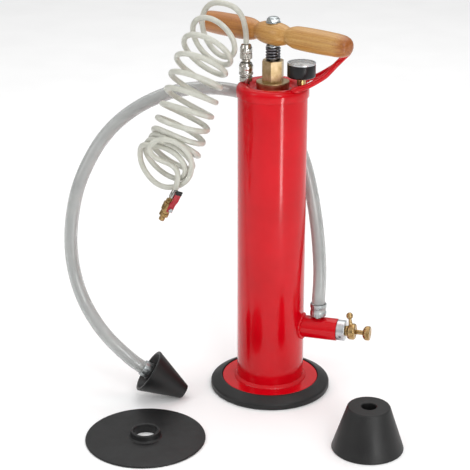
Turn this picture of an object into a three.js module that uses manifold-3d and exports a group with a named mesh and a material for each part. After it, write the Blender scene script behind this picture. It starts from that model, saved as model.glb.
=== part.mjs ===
// Hand vacuum pump: a steel reservoir cylinder with a piston pump inside it, a wooden T-handle,
// a vacuum gauge, a clear suction hose with a rubber cone, a coiled air tube with a small ball
// valve, and two loose rubber sealing adaptors. Millimetres, +Z up. The origin is the centre of
// the rubber foot's underside, and +X runs along the side stub.

import * as THREE from 'three';
import { mergeVertices } from 'three/addons/utils/BufferGeometryUtils.js';
import Module from 'manifold-3d';

const wasm = await Module();
wasm.setup();

// Driving dimensions
const GAP = 0.3;
const TANK_R = 50.8;
const TANK_WALL = 3.6;
const FOOT_R = 91.3;
const FOOT_H = 17.5;
const FLANGE_R = 73.2;
const FLANGE_TOP = 16.3;
const CAP_R = 53;
const CAP_CREST = 479.6;
const CAP_FLOOR = 472;
const CAP_UNDER = 466.4;
const GLAND_TOP = 483.5;
const GLAND_FLANGE_R = 24;
const HEX_FLATS = 28.5;
const HEX_TOP = 514;
const ROD_R = 6;
const ROD_BORE_R = 6.3;
const BARREL_R = 20;
const BARREL_BORE_R = 17.5;
const BARREL_FOOT_Z = 44;
const PISTON_Z = 58;
const HANDLE_Z = 552.5;
const HANDLE_HALF = 137;
const HANDLE_TURN = -25.4;
const GAUGE_X = 42;
const GAUGE_R = 20.4;
const GAUGE_BASE = 491.9;
const COUPLER_X = -40;
const STUB_Z = 104.7;
const STUB_R = 16.85;
const STUB_WALL = 2.65;
const STUB_END = 104.7;
const BARB_X = 74.5;
const HOSE_R = 10;
const AIR_TUBE_R = 4;
const COIL_R = 40;
const CONE = { x: -164.1, y: -99.6, z: 46.1, tilt: 34.5, turn: 18.8, rim: 33.8, tip: 10.5, length: 65.3 };
const MINI_TURN = -50;
const DISC = { x: -126.2, y: -219.9, r: 86.6, bore: 17 };
const FRUSTUM = { x: 185.4, y: -155.3, rBase: 51.4, rTop: 30.8, height: 65.3, bore: 10.5 };

// Facets round a turned piece, by its size
const LARGE = 32;
const MID = 20;
const SMALL = 14;
const TINY = 8;

// Materials
const finish = (color, roughness, metalness) => () => new THREE.MeshStandardMaterial({ color, roughness, metalness });
const redPaint = finish(0xd0000f, 0.25, 0.0);
const blackRubber = finish(0x2c2c2b, 0.8, 0.0);
const brass = finish(0xb8954f, 0.35, 1.0);
const steel = finish(0xb9babb, 0.3, 1.0);
const aluminium = finish(0xc9ccd0, 0.35, 1.0);
const wood = finish(0xc98d4e, 0.45, 0.0);
const clearHose = finish(0xd0d2cf, 0.3, 0.0);
const blackPlastic = finish(0x1b1c1d, 0.5, 0.0);
const dialWhite = finish(0xf2f2ee, 0.6, 0.0);
const lensClear = finish(0xe8eef0, 0.05, 0.0);

// Geometry helpers
const group = new THREE.Group();

function closed(geometry) {
  const bare = geometry.clone();
  for (const name of Object.keys(bare.attributes)) {
    if (name !== 'position') bare.deleteAttribute(name);
  }
  const merged = mergeVertices(bare, 1e-4);
  const index = merged.index.array;
  const kept = [];
  for (let i = 0; i < index.length; i += 3) {
    const [a, b, c] = [index[i], index[i + 1], index[i + 2]];
    if (a !== b && b !== c && c !== a) kept.push(a, b, c);
  }
  const p = merged.attributes.position;
  const corner = [new THREE.Vector3(), new THREE.Vector3(), new THREE.Vector3()];
  let volume = 0;
  for (let i = 0; i < kept.length; i += 3) {
    corner.forEach((v, k) => v.fromBufferAttribute(p, kept[i + k]));
    volume += corner[0].dot(corner[1].cross(corner[2]));
  }
  if (volume < 0) kept.reverse();
  merged.setIndex(kept);
  return merged;
}

function toManifold(geometry) {
  const g = closed(geometry);
  return new wasm.Manifold(new wasm.Mesh({
    numProp: 3,
    vertProperties: Float32Array.from(g.attributes.position.array),
    triVerts: Uint32Array.from(g.index.array),
  }));
}

function fromManifold(solid) {
  const mesh = solid.getMesh();
  const g = new THREE.BufferGeometry();
  g.setAttribute('position', new THREE.BufferAttribute(mesh.vertProperties, 3));
  g.setIndex(new THREE.BufferAttribute(mesh.triVerts, 1));
  return g;
}

const cut = (body, ...tools) => fromManifold(tools.reduce((s, t) => s.subtract(toManifold(t)), toManifold(body)));
const join = (body, ...more) => fromManifold(more.reduce((s, t) => s.add(toManifold(t)), toManifold(body)));
const common = (a, b) => fromManifold(toManifold(a).intersect(toManifold(b)));

// A turned solid about Z from [radius, height] points. A profile off the axis is closed on itself.
function turned(profile, segments = MID) {
  const points = profile.map(([r, z]) => new THREE.Vector2(r, z));
  const open = profile[0][0] === 0 && profile[profile.length - 1][0] === 0;
  if (!open) points.push(points[0].clone());
  return closed(new THREE.LatheGeometry(points, segments).rotateX(Math.PI / 2));
}

const ring = (rIn, rOut, z0, z1, segments) => turned([[rIn, z0], [rOut, z0], [rOut, z1], [rIn, z1]], segments);
const rod = (r, z0, z1, segments) => turned([[0, z0], [r, z0], [r, z1], [0, z1]], segments);
const alongX = (geometry) => geometry.rotateY(Math.PI / 2);

// A hexagon prism on Z whose corners stand at 30 degrees, with chamfered ends
function hexagon(flats, z0, z1, chamfer, topOnly = false) {
  const corner = flats / 2 / Math.cos(Math.PI / 6);
  const prism = new THREE.CylinderGeometry(corner, corner, z1 - z0, 6).rotateX(Math.PI / 2);
  prism.translate(0, 0, (z0 + z1) / 2);
  const low = topOnly ? corner + 1 : corner - chamfer;
  const shield = [[0, z0 - 0.001], [low, z0 - 0.001], [corner + 1, z0 + chamfer + 1]];
  shield.push([corner + 1, z1 - chamfer - 1], [corner - chamfer, z1 + 0.001], [0, z1 + 0.001]);
  return common(prism, turned(shield, MID));
}

function tube(points, radius, steps, sides) {
  const path = new THREE.CatmullRomCurve3(points.map((p) => new THREE.Vector3(...p)), false, 'centripetal');
  const section = new THREE.Shape();
  for (let i = 0; i < sides; i += 1) {
    const a = (2 * Math.PI * i) / sides;
    if (i === 0) section.moveTo(radius, 0);
    else section.lineTo(radius * Math.cos(a), radius * Math.sin(a));
  }
  return closed(new THREE.ExtrudeGeometry(section, { steps, extrudePath: path, bevelEnabled: false }));
}

// A wire spring on Z, of wire radius w, between two heights of its wire's centre
function spring(r, w, z0, z1, turns, stepsPerTurn = 8, sides = 5) {
  const points = [];
  const steps = turns * stepsPerTurn;
  for (let i = 0; i <= steps; i += 1) {
    const a = (2 * Math.PI * i) / stepsPerTurn;
    points.push([r * Math.cos(a), r * Math.sin(a), z0 + ((z1 - z0) * i) / steps]);
  }
  return tube(points, w, steps, sides);
}

function add(name, geometry, material, parent = group) {
  const mesh = new THREE.Mesh(geometry, material());
  mesh.name = name;
  parent.add(mesh);
  return mesh;
}

function subgroup(x, y, z) {
  const g = new THREE.Group();
  g.position.set(x, y, z);
  group.add(g);
  return g;
}

// Base and reservoir
function base() {
  const foot = [[0, 0], [FOOT_R - 0.8, 0], [FOOT_R, 0.8], [FOOT_R, 8.2], [FOOT_R - 1.2, 9.6]];
  foot.push([FLANGE_R + 2, FOOT_H], [FLANGE_R + 0.5, FOOT_H - 0.6], [FLANGE_R + 0.5, 9.8], [0, 9.8]);
  add('base_rubber_foot', turned(foot, LARGE), blackRubber);
  const plate = [[0, 10.1], [FLANGE_R, 10.1], [FLANGE_R, FLANGE_TOP - 0.8], [FLANGE_R - 0.8, FLANGE_TOP]];
  plate.push([0, FLANGE_TOP]);
  add('base_flange', turned(plate, LARGE), redPaint);
}

function reservoir() {
  const wall = ring(TANK_R - TANK_WALL, TANK_R, FLANGE_TOP + GAP, CAP_UNDER - GAP, LARGE);
  const stubHole = alongX(rod(STUB_R + GAP, 30, 70)).translate(0, 0, STUB_Z);
  add('reservoir_tube', cut(wall, stubHole), redPaint);
  const bore = 17.4;
  const cap = [[bore, CAP_UNDER], [TANK_R + GAP, CAP_UNDER], [TANK_R + GAP, 462], [CAP_R, 462], [CAP_R, 471]];
  cap.push([52.4, 474.8], [50.2, 477.8], [47, 479.3], [43, CAP_CREST], [39, 479.1], [35.8, 477]);
  cap.push([33.8, 473.6], [31.5, CAP_FLOOR], [bore, CAP_FLOOR]);
  const couplerHole = rod(6.4, 460, 485, SMALL).translate(COUPLER_X, 0, 0);
  const gaugeHole = rod(5.4, 460, 485, SMALL).translate(GAUGE_X, 0, 0);
  add('reservoir_top_cap', cut(turned(cap, LARGE), couplerHole, gaugeHole), redPaint);
}

function sideStub() {
  const pipe = ring(STUB_R - STUB_WALL, STUB_R, 46.2, STUB_END);
  const barbHole = rod(5.5, STUB_R - 6, STUB_R + 2, SMALL).translate(BARB_X, 0, 0);
  const stub = subgroup(0, 0, STUB_Z);
  add('side_stub_pipe', cut(alongX(pipe), barbHole), redPaint, stub);
  const bead = [[STUB_R + GAP, 40], [20.5, 40], [20.5, 50.6], [STUB_R + 1, 54.2], [STUB_R + GAP, 54.2]];
  const tankSpace = rod(TANK_R + GAP, -40, 40, LARGE);
  add('stub_weld_bead', cut(alongX(turned(bead)), tankSpace), redPaint, stub);
}

// The bail: a bent round bar welded to the cap's shoulder on both sides of the gauge
function carryBail() {
  const leg = [[42.5, 30.6, 482], [49, 31, 483.4], [57, 31, 486.4], [65, 31, 490.8], [73.4, 31, 496.3]];
  leg.push([83.2, 30.8, 503.3], [90.2, 30.2, 510.8], [97, 28, 518.8], [103, 22.5, 525.2], [107, 13.5, 529.2]);
  leg.push([108.6, 4.5, 530.4]);
  const back = leg.map(([x, y, z]) => [x, -y, z]).reverse();
  add('carry_bail', tube([...leg, ...back], 4, 34, 8), redPaint);
}

// Gland, seals and bumper spring
function gland() {
  const flange = [[0, 452], [17.1, 452], [17.1, CAP_FLOOR + 1.6], [GLAND_FLANGE_R, CAP_FLOOR + 1.6]];
  flange.push([GLAND_FLANGE_R, GLAND_TOP - 1], [GLAND_FLANGE_R - 1, GLAND_TOP], [0, GLAND_TOP]);
  const hex = hexagon(HEX_FLATS, GLAND_TOP - 2, HEX_TOP, 1.2, true).rotateZ(THREE.MathUtils.degToRad(5));
  const body = join(turned(flange, MID), hex);
  const bored = cut(body, rod(ROD_BORE_R, 440, 520, SMALL), rod(10, HEX_TOP - 8, HEX_TOP + 1, SMALL));
  add('gland_body', bored, brass);
  add('gland_gasket', ring(17.6, 23.4, CAP_FLOOR + GAP, CAP_FLOOR + 1.3, MID), blackRubber);
  add('rod_wiper_seal', ring(ROD_BORE_R, 9.7, HEX_TOP - 7.7, HEX_TOP - GAP, SMALL), blackRubber);
  add('bumper_spring', spring(9.2, 1.6, HEX_TOP + 1.9, 532.3, 4, 10), steel);
}

// The pump inside the reservoir: barrel, foot valve, piston and rod
function pump() {
  add('pump_barrel', ring(BARREL_BORE_R, BARREL_R, BARREL_FOOT_Z, CAP_UNDER - GAP, MID), steel);
  const cupTop = BARREL_FOOT_Z + 12;
  const seat = BARREL_FOOT_Z - GAP;
  const foot = [[4, 36], [22.6, 36], [22.6, cupTop], [BARREL_R + GAP, cupTop], [BARREL_R + GAP, seat], [4, seat]];
  add('barrel_foot', turned(foot, MID), aluminium);
  add('foot_valve_disc', rod(7, seat + GAP, seat + 2.2, SMALL), blackRubber);
  add('foot_valve_spring', spring(4.5, 0.5, seat + 3, seat + 7.8, 3), steel);
  const cage = [[9, seat + GAP], [11, seat + GAP], [11, seat + 10.4], [2.5, seat + 10.4]];
  cage.push([2.5, seat + 8.6], [9, seat + 8.6]);
  add('foot_valve_cage', turned(cage, SMALL), brass);
  const nut = cut(hexagon(15, PISTON_Z, PISTON_Z + 6, 1), rod(5, 50, 70, SMALL));
  add('piston_nut', nut, steel);
  add('piston_washer', ring(5, 13, PISTON_Z + 6.3, PISTON_Z + 7.8, MID), steel);
  const cup = [[5, 66.1], [17.2, 66.1], [17.2, 76], [15.4, 76], [14.6, 68.6], [5, 68.6]];
  add('piston_cup_seal', turned(cup, MID), blackRubber);
  const head = [[5, 68.9], [14.2, 68.9], [14.8, 76.3], [16.9, 76.3], [16.9, 86], [5, 86]];
  add('piston_head', turned(head, MID), aluminium);
  const shaft = [[0, PISTON_Z - 0.4], [4.7, PISTON_Z - 0.4], [4.7, 86.3], [ROD_R, 86.3]];
  shaft.push([ROD_R, 566.6], [5.2, 567.4], [5.2, 573], [0, 573]);
  add('piston_rod', turned(shaft, SMALL), steel);
}

// Turned wooden T-handle, bored for the rod and clamped under a domed nut
function handle() {
  const half = [[16.8, 0], [16.6, 9], [15.2, 17.5], [12.8, 24.5], [11.7, 28], [12.6, 31.5], [14.9, 38], [16.3, 46]];
  half.push([16.9, 70], [16.5, 104], [15.6, 122], [13.6, 130.5], [10, 135.2], [5, HANDLE_HALF]);
  const other = half.slice(1).map(([r, s]) => [r, -s]).reverse();
  const profile = [[0, -HANDLE_HALF], ...other, ...half, [0, HANDLE_HALF]];
  const grip = alongX(turned(profile, MID));
  const spot = rod(11.5, 15, 30, MID);
  const turn = THREE.MathUtils.degToRad(HANDLE_TURN);
  const bar = add('wooden_handle', cut(grip, rod(ROD_BORE_R, -30, 30, SMALL), spot), wood);
  bar.position.z = HANDLE_Z;
  bar.rotation.z = turn;
  add('handle_lower_washer', ring(ROD_BORE_R, 10, HANDLE_Z - 18.2, HANDLE_Z - 16.9, MID), steel);
  add('handle_upper_washer', ring(ROD_BORE_R, 10.6, HANDLE_Z + 15.3, HANDLE_Z + 16.5, MID), steel);
  const nutLow = HANDLE_Z + 16.8;
  const dome = [[0, nutLow - 1], [11, nutLow - 1], [11, nutLow + 3.4], [7.4, nutLow + 6.4]];
  dome.push([3, nutLow + 7.4], [0, nutLow + 7.4]);
  const nut = common(hexagon(17, nutLow, nutLow + 8, 0.8), turned(dome, MID));
  add('handle_dome_nut', cut(nut, rod(5.5, nutLow - 5, 573.3, SMALL)), steel);
}

// Vacuum gauge, facing up on its stem
function gauge() {
  const g = subgroup(GAUGE_X, 0, 0);
  const stemTop = GAUGE_BASE - GAP;
  const stem = [[2, 462], [5, 462], [5, 480.6], [6.4, 481.2], [6.4, stemTop], [2, stemTop]];
  add('gauge_stem', turned(stem, SMALL), brass, g);
  const shell = [[0, GAUGE_BASE], [GAUGE_R - 1, GAUGE_BASE], [GAUGE_R, GAUGE_BASE + 1], [GAUGE_R, 510.6]];
  shell.push([19, 510.6], [19, GAUGE_BASE + 2.5], [0, GAUGE_BASE + 2.5]);
  add('gauge_case', turned(shell, MID), blackPlastic, g);
  const works = turned([[0, 494.8], [9, 494.8], [9, 503], [2, 503], [2, 507.3], [0, 507.3]], SMALL);
  add('gauge_movement', works, brass, g);
  add('gauge_dial', rod(18.7, 507.6, 508.2, MID), dialWhite, g);
  const hub = rod(1.8, 508.5, 509.9, TINY);
  const needle = new THREE.BoxGeometry(18, 1.1, 0.7).translate(5, 0, 509.2);
  const pointer = add('gauge_pointer', join(hub, needle), blackPlastic, g);
  pointer.rotation.z = THREE.MathUtils.degToRad(135);
  add('gauge_lens', rod(18.9, 510.9, 512.6, MID), lensClear, g);
  const bezel = [[19.2, 510.9], [20.6, 510.9], [20.6, 513], [20, 513.6], [18.2, 513.6], [18.2, 512.9], [19.2, 512.9]];
  add('gauge_bezel', turned(bezel, MID), steel, g);
}

// Quick coupler for the air tube
function coupler() {
  const g = subgroup(COUPLER_X, 0, 0);
  const body = [[3, 460], [6, 460], [6, 480.2], [9.4, 480.6], [9.4, 487], [7.2, 487.2], [7.2, 505], [6.8, 506.4]];
  body.push([6.2, 506.4], [6.2, 490], [3, 490]);
  add('coupler_body', turned(body, SMALL), steel, g);
  const sleeve = [[9.2, 490.4], [10.3, 490.4], [10.3, 493], [9.8, 494], [9.8, 498], [10.3, 499], [10.3, 503]];
  sleeve.push([8.4, 507.6], [7.5, 507.6], [7.5, 499.4], [9.2, 499.4]);
  add('coupler_sleeve', turned(sleeve, MID), steel, g);
  add('coupler_spring', spring(8.2, 0.5, 488, 498.6, 4, 12), steel, g);
  const plug = [[2.5, 490.6], [5.8, 490.6], [5.8, 509], [6.6, 509.6], [6.6, 512.6], [5.6, 513]];
  plug.push([5.6, 528], [2.5, 528]);
  add('coupler_plug', turned(plug, SMALL), steel, g);
  const nut = [[6, 513.6], [8.9, 513.6], [8.9, 521], [8.2, 522], [8.9, 523], [8.9, 529], [7, 534]];
  nut.push([4.3, 534], [4.3, 530], [6, 530]);
  add('coupler_tube_nut', turned(nut, SMALL), steel, g);
}

// Aluminium end plug and brass release valve on the side stub
function releaseValve() {
  const g = subgroup(0, 0, STUB_Z);
  const plug = [[7.2, 92], [13.9, 92], [13.9, STUB_END + GAP], [15.7, STUB_END + GAP], [15.7, 116.8], [14.9, 117.6]];
  plug.push([5.3, 117.6], [5.3, 106], [7.2, 106]);
  const screwTilt = THREE.MathUtils.degToRad(17);
  const screwHole = rod(2, 9, 18, TINY).rotateX(Math.PI / 2 + screwTilt).translate(111.5, 0, 0);
  const screw = rod(1.7, 11, 15, TINY).rotateX(Math.PI / 2 + screwTilt).translate(111.5, 0, 0);
  const shell = alongX(turned(plug));
  const pin = common(screwHole, shell);
  add('stub_end_plug', cut(shell, screwHole), aluminium, g);
  add('end_plug_grub_screw', common(screw, pin), steel, g);
  const body = [[3.8, 106.3], [5, 106.3], [5, 117.9], [7.9, 117.9], [7.9, 120.8], [6, 121.1]];
  body.push([6, 132.7], [3.8, 132.7]);
  add('release_valve_body', alongX(turned(body, SMALL)), brass, g);
  const hub = [[6.3, 121.4], [10.6, 121.4], [12.4, 123.4], [12.4, 131], [10.6, 133], [6.3, 133]];
  const lean = THREE.MathUtils.degToRad(-8);
  const arm = turned([[0, 10], [3.4, 10], [2.1, 21], [0, 21]], TINY).rotateY(lean).translate(126.4, 0, 0);
  const knobEnd = new THREE.SphereGeometry(5.2, 12, 8).translate(0, 0, 25.4).rotateY(lean).translate(126.4, 0, 0);
  const bored = cut(join(alongX(turned(hub, MID)), arm, knobEnd), alongX(rod(6.3, 110, 140, SMALL)));
  add('release_valve_lever', bored, brass, g);
  const stem = [[0, 96], [3.5, 96], [3.5, 144.4], [6.5, 144.4], [9.6, 146.6], [10.9, 149], [10.9, 153.8]];
  stem.push([9.7, 155.2], [0, 155.2]);
  add('release_valve_stem', alongX(turned(stem, SMALL)), brass, g);
  add('release_valve_pad', alongX(ring(3.8, 6.4, 96.2, 99, SMALL)), blackRubber, g);
  add('release_valve_spring', alongX(spring(4.7, 0.45, 99.8, 105.2, 3)), steel, g);
}

// Hose barb on the stub, its clamp, the suction hose and the cone it ends in
function hoseAndCone() {
  const g = subgroup(BARB_X, 0, STUB_Z);
  const barb = [[4, 11.6], [5.2, 11.6], [5.2, 17.6], [7.6, 17.6], [7.6, 20.6], [6.6, 21], [7.2, 24], [6.6, 24.4]];
  barb.push([7.2, 31], [6.6, 31.4], [7.2, 39], [6.4, 40], [4, 40]);
  add('hose_barb', turned(barb, SMALL), steel, g);
  const band = [[10.3, 21], [12, 21], [12.4, 22.4], [12.4, 27], [11.6, 28], [11.6, 33], [12.4, 34]];
  band.push([12.4, 38.6], [12, 40], [10.3, 40]);
  add('hose_clamp', turned(band, MID), steel, g);
  const axis = coneAxis();
  const onAxis = (s) => axis.origin.clone().addScaledVector(axis.direction, s).toArray();
  const route = [[BARB_X, 0, STUB_Z + 40.5], [BARB_X, 0, 154], [74.6, 1.4, 164], [74.5, 4.4, 179], [73.2, 9.4, 198]];
  route.push([70.2, 15.4, 221], [65.6, 23, 247]);
  route.push([58.4, 33, 278], [49, 44, 310], [37, 54.5, 343], [21, 62.5, 375], [1, 66.5, 404], [-22, 66, 426]);
  route.push([-47, 60.5, 441.5], [-75, 51, 451], [-104, 40, 455], [-133, 28.5, 454.6], [-161, 17, 449.6]);
  route.push([-187, 5.5, 439.5], [-212, -5.5, 425], [-236, -17, 405], [-257, -28.5, 379], [-274, -40, 347]);
  route.push([-286.6, -50.8, 312], [-293.8, -58, 275.2], [-296.1, -65, 238.8], [-292.8, -72, 204.1]);
  route.push([-283.5, -80, 171.7], [-268.3, -89, 142.4], [-247.1, -98.5, 116.1], [-221.4, -107, 93.1]);
  route.push([-190.8, -108.6, 68], onAxis(-16), onAxis(0), onAxis(25));
  add('suction_hose', tube(route, HOSE_R, 44, 8), clearHose);
  const shell = [[6.3, 65.3], [6.3, 26], [10.5, 26], [10.5, 1], [13.6, 1], [13.6, 24], [20.4, 24], [29.4, 0]];
  shell.push([CONE.rim - 0.8, 0], [CONE.rim, 1.2], [CONE.tip + 0.8, 64.2], [CONE.tip, CONE.length]);
  const cone = add('suction_cone', turned(shell, MID), blackRubber);
  const collar = add('cone_hose_collar', ring(10.5, 12.2, -10, 0.6, MID), steel);
  for (const mesh of [cone, collar]) {
    mesh.position.copy(axis.origin);
    mesh.quaternion.setFromUnitVectors(new THREE.Vector3(0, 0, 1), axis.direction);
  }
}

// The stiff hose holds the cone up with its tip on the floor
function coneAxis() {
  const tilt = THREE.MathUtils.degToRad(CONE.tilt);
  const turn = THREE.MathUtils.degToRad(CONE.turn);
  const flat = Math.cos(tilt);
  const direction = new THREE.Vector3(flat * Math.cos(turn), flat * Math.sin(turn), -Math.sin(tilt));
  return { direction, origin: new THREE.Vector3(CONE.x, CONE.y, CONE.z) };
}

// Coiled air tube: the coil is one solid of its outer shape, with a plain lead and tail
function airTube() {
  const lead = [[COUPLER_X, 0, 534.4], [COUPLER_X, 0, 541], [-39.6, -2.2, 549], [-39.4, -7.5, 559.5]];
  add('air_tube_lead', tube(lead, AIR_TUBE_R, 10, 8), clearHose);
  const coil = [[-74.8, -16.5, 556], [-78, -34, 545], [-83, -51, 531], [-92.9, -65.5, 499.5]];
  coil.push([-103.4, -71.3, 460.5], [-114.2, -76.6, 424.3], [-121, -84, 399], [-127, -98, 382]);
  add('air_tube_coil', tube(coil, COIL_R, 12, 12), clearHose);
  const tail = [[-114, -92.2, 360], [-115, -93, 352], [-117.9, -93.4, 337.8]];
  add('air_tube_tail', tube(tail, AIR_TUBE_R, 8, 8), clearHose);
}

// Small ball valve and nozzle on the end of the air tube, built down its own axis
function miniValve() {
  const g = subgroup(-118, -93.4, 337);
  const up = new THREE.Vector3(21, 5.6, 46).normalize();
  g.quaternion.setFromUnitVectors(new THREE.Vector3(0, 0, 1), up);
  g.rotateZ(THREE.MathUtils.degToRad(MINI_TURN));
  const nut = [[2.2, -12.8], [5, -12.8], [5, -6], [4.3, -GAP], [2.2, -GAP]];
  add('mini_valve_tube_nut', turned(nut, SMALL), steel, g);
  const body = [[2.2, -13.1], [4, -13.1], [4, -16.6], [6.4, -17.4], [6.4, -21], [7.9, -22], [7.9, -33.4]];
  body.push([6.6, -34.6], [6.6, -38], [5.3, -38], [5.3, -22.6], [2.2, -22.6]);
  const boss = alongX(rod(3.6, 6, 9.3, TINY)).translate(0, 0, -28);
  const stemHole = alongX(rod(1.8, 3, 12, TINY)).translate(0, 0, -28);
  const cavity = rod(5.3, -38.5, -22.6, SMALL);
  const solid = cut(join(turned(body, SMALL), boss), stemHole, cavity);
  add('mini_valve_body', solid, brass, g);
  const ball = new THREE.SphereGeometry(4.9, 12, 8).translate(0, 0, -28);
  add('mini_valve_ball', cut(ball, rod(2, -40, -20, TINY)), steel, g);
  const stem = [[0, 5.2], [1.5, 5.2], [1.5, 12], [3.1, 12], [3.1, 13.4], [2.4, 14], [0, 14]];
  add('mini_valve_stem', alongX(turned(stem, TINY)).translate(0, 0, -28), steel, g);
  const bladeLine = new THREE.Shape();
  bladeLine.moveTo(9.7, -32);
  bladeLine.lineTo(11.7, -32);
  bladeLine.lineTo(11.7, -19);
  bladeLine.lineTo(14.6, -13);
  bladeLine.lineTo(14.6, 4);
  bladeLine.lineTo(12.6, 4);
  bladeLine.lineTo(12.6, -12.4);
  bladeLine.lineTo(9.7, -18.4);
  const blade = new THREE.ExtrudeGeometry(bladeLine, { depth: 9, bevelEnabled: false });
  blade.translate(0, 0, -4.5).rotateX(Math.PI / 2);
  const bladeHole = alongX(rod(1.8, 5, 16, TINY)).translate(0, 0, -28);
  add('mini_valve_lever', cut(blade, bladeHole), redPaint, g);
  const nozzle = [[2, -33.4], [5, -33.4], [5, -38.3], [6.8, -38.3], [6.8, -43], [4.3, -44.6], [4.3, -49.6]];
  nozzle.push([3.6, -51], [2, -51]);
  add('air_nozzle', turned(nozzle, SMALL), brass, g);
}

// Two loose rubber adaptors that stand on the floor beside the pump
function adaptors() {
  const disc = [[DISC.bore, 0], [DISC.r - 0.6, 0], [DISC.r, 0.8], [DISC.r - 0.6, 3], [24.4, 4.2]];
  disc.push([22, 6], [21.2, 12.8], [20.4, 13.7], [17.9, 13.7], [DISC.bore, 12.8]);
  add('sealing_disc', turned(disc, LARGE), blackRubber, subgroup(DISC.x, DISC.y, 0));
  const cone = [[FRUSTUM.bore, 0], [FRUSTUM.rBase - 0.6, 0], [FRUSTUM.rBase, 1], [FRUSTUM.rBase - 0.8, 3.4]];
  cone.push([FRUSTUM.rTop, 63.6], [FRUSTUM.rTop - 1.4, FRUSTUM.height], [FRUSTUM.bore + 1, FRUSTUM.height]);
  cone.push([FRUSTUM.bore, FRUSTUM.height - 1.2]);
  add('sealing_frustum', turned(cone, 40), blackRubber, subgroup(FRUSTUM.x, FRUSTUM.y, 0));
}

base();
reservoir();
sideStub();
carryBail();
gland();
pump();
handle();
gauge();
coupler();
releaseValve();
hoseAndCone();
airTube();
miniValve();
adaptors();

export default group;
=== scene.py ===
"""Looks of the hand vacuum pump: fine pieces, cords, finishes, floor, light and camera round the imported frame."""

import math

import bmesh
import bpy
import numpy as np
from mathutils import Matrix, Vector


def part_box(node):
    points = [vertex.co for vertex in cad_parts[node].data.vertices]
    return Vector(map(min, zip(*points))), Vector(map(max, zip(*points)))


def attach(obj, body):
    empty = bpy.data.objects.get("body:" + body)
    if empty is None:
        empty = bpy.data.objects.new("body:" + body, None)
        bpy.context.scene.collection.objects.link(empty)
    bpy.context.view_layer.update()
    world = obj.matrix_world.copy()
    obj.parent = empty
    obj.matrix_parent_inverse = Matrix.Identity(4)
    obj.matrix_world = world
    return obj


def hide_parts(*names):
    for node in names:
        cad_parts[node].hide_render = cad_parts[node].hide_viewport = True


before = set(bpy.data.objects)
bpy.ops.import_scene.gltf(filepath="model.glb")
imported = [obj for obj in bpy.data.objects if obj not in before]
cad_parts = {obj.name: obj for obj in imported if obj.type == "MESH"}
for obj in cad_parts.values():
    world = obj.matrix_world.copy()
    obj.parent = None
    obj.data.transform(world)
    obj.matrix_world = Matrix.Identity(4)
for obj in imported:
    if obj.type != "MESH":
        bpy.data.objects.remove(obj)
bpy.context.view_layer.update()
scene = bpy.context.scene
MM = 0.001
SAME_POINT = 2e-6  # metres: closer points are merged
CYLINDER_R = 50.8  # mm, outside
ROD_R = 6  # mm

# Places of the parts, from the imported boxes


def middle(node):
    low, high = (Vector(corner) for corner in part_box(node))
    return (low + high) / 2


GAUGE = middle("gauge_case")
COUPLER = middle("coupler_body")
STUB = middle("side_stub_pipe")
BARB = middle("hose_barb")
DISC = middle("sealing_disc")
FRUSTUM = middle("sealing_frustum")
HANDLE_Z = middle("wooden_handle").z
HANDLE_TURN = math.radians(-25.4)  # from X, as it stands at rest


def upright(at):
    """A vertical axis through a point, with heights from the floor."""
    return Matrix.Translation((at.x, at.y, 0))


ALONG_STUB = Matrix.Translation((0, 0, STUB.z)) @ Matrix.Rotation(math.pi / 2, 4, "Y")


# Camera and light


def set_camera():
    data = bpy.data.cameras.new("camera")
    data.sensor_width = 36
    data.lens = 107.08  # mm, as the sensor
    camera = bpy.data.objects.new("camera", data)
    camera.location = (0.4999, -1.8921, 0.985)
    camera.rotation_euler = (math.radians(69.32), 0, math.radians(16.39))
    scene.collection.objects.link(camera)
    scene.camera = camera


def softbox(name, at, toward, size, power):
    """A flat lamp of a size in metres and a power in watts, turned toward a point."""
    data = bpy.data.lights.new(name, "AREA")
    data.shape = "RECTANGLE"
    data.size, data.size_y = size
    data.energy = power
    lamp = bpy.data.objects.new(name, data)
    lamp.location = at
    lamp.rotation_euler = (Vector(toward) - Vector(at)).to_track_quat("-Z", "Y").to_euler()
    scene.collection.objects.link(lamp)


def set_light():
    scene.view_settings.view_transform = "Standard"
    world = bpy.data.worlds.new("studio")
    scene.world = world
    world.use_nodes = True
    tree = world.node_tree
    way = add_node(tree, "ShaderNodeTexCoord").outputs["Generated"]
    height = add_node(tree, "ShaderNodeSeparateXYZ", {"Vector": way})
    # dim walls under a bright ceiling, so that turned metal has something dark to mirror
    ceiling = add_node(
        tree,
        "ShaderNodeMapRange",
        {"Value": height.outputs["Z"]},
        From_Min=0.05,
        From_Max=0.7,
        To_Min=0.26,
        To_Max=0.8,
    )
    tree.links.new(ceiling.outputs["Result"], tree.nodes["Background"].inputs["Strength"])
    tree.nodes["Background"].inputs["Color"].default_value = (1, 1, 1, 1)
    softbox("softbox_over", (0.1, 0.9, 2.7), (0, 0.5, 0), (3.2, 2.6), 36)
    softbox("softbox_key", (1.5, -2.2, 1.9), (0, 0, 0.3), (0.9, 1.2), 20)
    softbox("softbox_fill", (-1.9, -1.6, 1.5), (0, 0, 0.3), (0.8, 1.2), 9)
    softbox("strip_low", (0.72, -0.72, 0.2), (0, 0, 0.3), (0.12, 0.36), 1.6)


# Node and mesh helpers


def colour(code):
    parts = [int(code[i : i + 2], 16) / 255 for i in (1, 3, 5)]
    return (*(c / 12.92 if c <= 0.04045 else ((c + 0.055) / 1.055) ** 2.4 for c in parts), 1)


def add_node(tree, kind, links=None, **settings):
    node = tree.nodes.new(kind)
    for key, value in settings.items():
        if hasattr(node, key):
            setattr(node, key, value)
        else:
            node.inputs[key.replace("_", " ")].default_value = value
    for key, source in (links or {}).items():
        tree.links.new(source, node.inputs[key])
    return node


def new_finish(name):
    """A new material, its empty tree and its piece's own coordinates, in metres."""
    material = bpy.data.materials.new(name)
    material.use_nodes = True
    tree = material.node_tree
    tree.nodes.clear()
    return material, tree, add_node(tree, "ShaderNodeTexCoord").outputs["Object"]


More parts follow.
